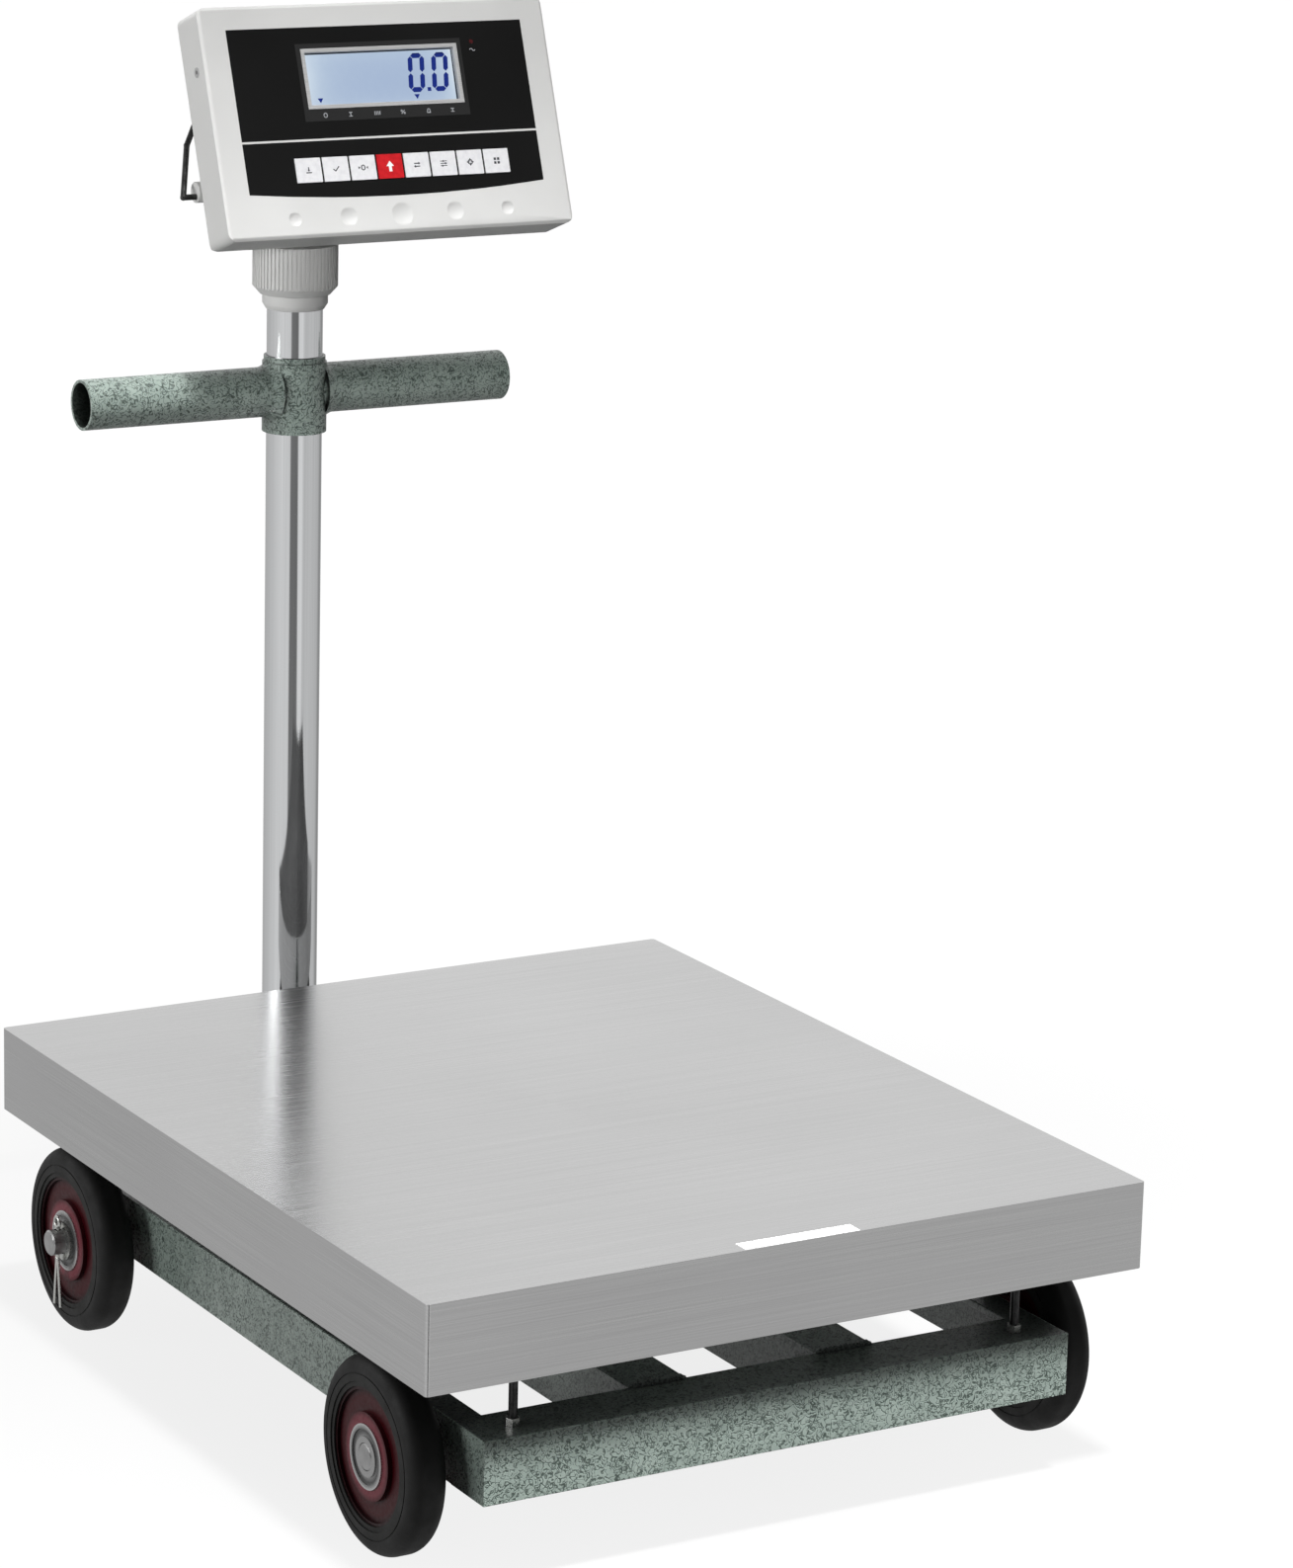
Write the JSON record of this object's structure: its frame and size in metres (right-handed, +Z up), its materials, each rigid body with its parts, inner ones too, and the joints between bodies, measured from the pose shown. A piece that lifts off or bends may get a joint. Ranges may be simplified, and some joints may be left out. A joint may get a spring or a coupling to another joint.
{
  "type": "mobile platform scale",
  "caption": "Wheeled platform scale: lift-off stainless pan on a steel frame with load cell, chrome column, push handle and swivelling display head with press keys.",
  "frame": {"origin": "on the floor at the middle of the whole scale's footprint", "axes": "+Z up, +Y from the front of the platform towards the column, +X to the right for a person who stands in front of the display"},
  "size_m": [0.504, 0.721, 0.8478],
  "materials": {
    "hammertone": "hammertone",
    "stainless": "brushed",
    "plain_steel": "machined",
    "zinc_plate": "plated",
    "black_steel": "blackened",
    "aluminium_cell": "anodised",
    "chrome_tube": "polished",
    "pad_rubber": "matte",
    "tyre_rubber": "moulded",
    "maroon_paint": "gloss",
    "grey_abs": "fine texture",
    "dark_film": "satin film",
    "silver_trim": "satin",
    "display_glass": "backlit",
    "circuit_board": "solder mask",
    "led_red": "clear",
    "key_white": "satin",
    "key_red": "satin",
    "black_plastic": "moulded",
    "label_film": "satin"
  },
  "bodies": {
    "base": {"front_rail": "hammertone", "rear_rail": "hammertone", "side_rail_left": "hammertone", "side_rail_right": "hammertone", "mid_beam_left": "hammertone", "mid_beam_right": "hammertone", "rail_caps": "hammertone", "limit_screws": "black_steel", "limit_nuts": "zinc_plate", "cell_plate": "plain_steel", "load_cell": "aluminium_cell", "cell_bolts": "zinc_plate", "subframe_bars": "hammertone", "subframe_crosses": "hammertone", "rubber_pads": "pad_rubber", "axle_front": "plain_steel", "axle_rear": "plain_steel", "axle_spacers": "plain_steel", "axle_washers": "zinc_plate", "split_pins": "zinc_plate", "column_socket": "hammertone", "socket_bolt": "zinc_plate", "column_tube": "chrome_tube", "handle": "hammertone", "collar_ring": "grey_abs"},
    "platform": {"platform_pan": "stainless", "blank_label": "label_film"},
    "wheel_fl": {"tyre_fl": "tyre_rubber", "rim_fl": "maroon_paint", "bearing_fl": "plain_steel"},
    "wheel_fr": {"tyre_fr": "tyre_rubber", "rim_fr": "maroon_paint", "bearing_fr": "plain_steel"},
    "wheel_rl": {"tyre_rl": "tyre_rubber", "rim_rl": "maroon_paint", "bearing_rl": "plain_steel"},
    "wheel_rr": {"tyre_rr": "tyre_rubber", "rim_rr": "maroon_paint", "bearing_rr": "plain_steel"},
    "collar": {"collar_nut": "grey_abs"},
    "head": {"head_neck": "grey_abs", "head_front": "grey_abs", "head_back": "grey_abs", "overlay_top": "dark_film", "overlay_bottom": "dark_film", "lcd_bezel": "silver_trim", "lcd_panel": "display_glass", "display_board": "circuit_board", "power_led": "led_red", "housing_screws": "zinc_plate", "charge_socket": "black_plastic"},
    "key_1": {"key_1": "key_white"},
    "key_2": {"key_2": "key_white"},
    "key_3": {"key_3": "key_white"},
    "key_4": {"key_4": "key_red"},
    "key_5": {"key_5": "key_white"},
    "key_6": {"key_6": "key_white"},
    "key_7": {"key_7": "key_white"},
    "key_8": {"key_8": "key_white"},
    "bail": {"bail": "black_steel"}
  },
  "joints": [
    {"name": "platform_lift", "type": "slide", "parent": "base", "child": "platform", "axis": [0, 0, 1], "range_m": [0, 0.06]},
    {"name": "wheel_fl_spin", "type": "hinge", "parent": "base", "child": "wheel_fl", "pos_m": [-0.228, -0.2685, 0.061], "axis": [1, 0, 0], "continuous": true},
    {"name": "wheel_fr_spin", "type": "hinge", "parent": "base", "child": "wheel_fr", "pos_m": [0.228, -0.2685, 0.061], "axis": [1, 0, 0], "continuous": true},
    {"name": "wheel_rl_spin", "type": "hinge", "parent": "base", "child": "wheel_rl", "pos_m": [-0.228, 0.1615, 0.061], "axis": [1, 0, 0], "continuous": true},
    {"name": "wheel_rr_spin", "type": "hinge", "parent": "base", "child": "wheel_rr", "pos_m": [0.228, 0.1615, 0.061], "axis": [1, 0, 0], "continuous": true},
    {"name": "collar_turn", "type": "hinge", "parent": "base", "child": "collar", "pos_m": [0, 0.3155, 0.669], "axis": [0, 0, 1], "range_deg": [0, 120]},
    {"name": "head_swivel", "type": "hinge", "parent": "base", "child": "head", "pos_m": [0, 0.3155, 0.669], "axis": [0, 0, 1], "range_deg": [-170, 170]},
    {"name": "key_1_press", "type": "slide", "parent": "head", "child": "key_1", "axis": [0, 0.9397, -0.342], "range_m": [0, 0.0005], "stiffness_N_per_m": 2000, "springref_m": -0.0005},
    {"name": "key_2_press", "type": "slide", "parent": "head", "child": "key_2", "axis": [0, 0.9397, -0.342], "range_m": [0, 0.0005], "stiffness_N_per_m": 2000, "springref_m": -0.0005},
    {"name": "key_3_press", "type": "slide", "parent": "head", "child": "key_3", "axis": [0, 0.9397, -0.342], "range_m": [0, 0.0005], "stiffness_N_per_m": 2000, "springref_m": -0.0005},
    {"name": "key_4_press", "type": "slide", "parent": "head", "child": "key_4", "axis": [0, 0.9397, -0.342], "range_m": [0, 0.0005], "stiffness_N_per_m": 2000, "springref_m": -0.0005},
    {"name": "key_5_press", "type": "slide", "parent": "head", "child": "key_5", "axis": [0, 0.9397, -0.342], "range_m": [0, 0.0005], "stiffness_N_per_m": 2000, "springref_m": -0.0005},
    {"name": "key_6_press", "type": "slide", "parent": "head", "child": "key_6", "axis": [0, 0.9397, -0.342], "range_m": [0, 0.0005], "stiffness_N_per_m": 2000, "springref_m": -0.0005},
    {"name": "key_7_press", "type": "slide", "parent": "head", "child": "key_7", "axis": [0, 0.9397, -0.342], "range_m": [0, 0.0005], "stiffness_N_per_m": 2000, "springref_m": -0.0005},
    {"name": "key_8_press", "type": "slide", "parent": "head", "child": "key_8", "axis": [0, 0.9397, -0.342], "range_m": [0, 0.0005], "stiffness_N_per_m": 2000, "springref_m": -0.0005},
    {"name": "bail_fold", "type": "hinge", "parent": "head", "child": "bail", "pos_m": [0.0475, 0.30467, 0.72272], "axis": [-1, 0, 0], "range_deg": [0, 100]}
  ]
}
